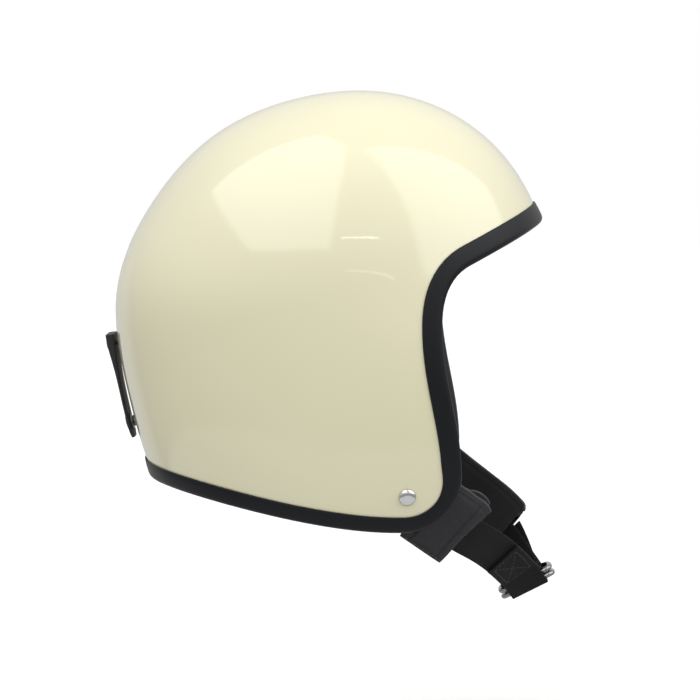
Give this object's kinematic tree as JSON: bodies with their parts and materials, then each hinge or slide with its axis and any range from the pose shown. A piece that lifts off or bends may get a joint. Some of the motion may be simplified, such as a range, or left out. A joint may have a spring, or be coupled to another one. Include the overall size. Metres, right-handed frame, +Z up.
{
  "type": "open face motorcycle helmet",
  "caption": "Glossy cream open face motorcycle helmet with black rubber edge trim, padded lining, padded chin strap with D-rings and a snap-down goggle strap at the back",
  "frame": {"origin": "centre of the head cavity, midway between the left and right sides", "axes": "+X is forward, out of the face opening; +Y is to the wearer's left; +Z is up through the crown"},
  "size_m": [0.2832, 0.23, 0.3197],
  "materials": {
    "cream_paint": "high gloss cream lacquer over a moulded fibreglass shell",
    "black_trim": "satin black moulded rubber edge channel",
    "liner_foam": "dark grey expanded polystyrene with fine beads",
    "lining_cloth": "black brushed comfort cloth over soft foam",
    "black_leather": "black grained artificial leather with stitched seams",
    "webbing": "black woven nylon webbing",
    "chrome": "polished chrome plate",
    "steel": "plain zinc plated steel",
    "dark_metal": "black nickel plated snap hardware"
  },
  "bodies": {
    "helmet": {"outer_shell": "cream_paint", "edge_trim": "black_trim", "eps_liner": "liner_foam", "crown_pad": "lining_cloth", "head_band": "lining_cloth", "neck_roll": "black_leather", "cheek_pad_right": "lining_cloth", "cheek_pad_left": "lining_cloth", "chin_rivet_right": "chrome", "chin_rivet_left": "chrome", "chin_rivet_washer_right": "steel", "chin_rivet_washer_left": "steel", "goggle_strap_end": "black_leather", "goggle_rivet": "dark_metal", "goggle_rivet_washer": "steel", "goggle_snap_stud": "steel", "goggle_stud_washer": "steel"},
    "chin_strap": {"strap_webbing_right": "webbing", "strap_webbing_left": "webbing", "strap_cover_right": "black_leather", "strap_cover_left": "black_leather", "strap_snap_cap": "dark_metal", "strap_snap_base": "steel", "d_ring_upper": "chrome"},
    "lower_ring": {"d_ring_lower": "chrome"},
    "goggle_flap": {"goggle_strap_flap": "black_leather", "goggle_snap_socket": "steel", "goggle_snap_cap": "dark_metal"}
  },
  "joints": [
    {"name": "chin_strap_swing", "type": "hinge", "parent": "helmet", "child": "chin_strap", "pos_m": [0.065, 0, -0.116], "axis": [0, 1, 0], "range_deg": [-24, 24]},
    {"name": "lower_ring_lift", "type": "hinge", "parent": "chin_strap", "child": "lower_ring", "pos_m": [0.14046, -0.011, -0.18309], "axis": [-0.891, 0, -0.454], "range_deg": [0, 30]},
    {"name": "goggle_flap_hinge", "type": "hinge", "parent": "helmet", "child": "goggle_flap", "pos_m": [-0.1224, 0, -0.0378], "axis": [0, 1, 0], "range_deg": [0, 100]}
  ]
}
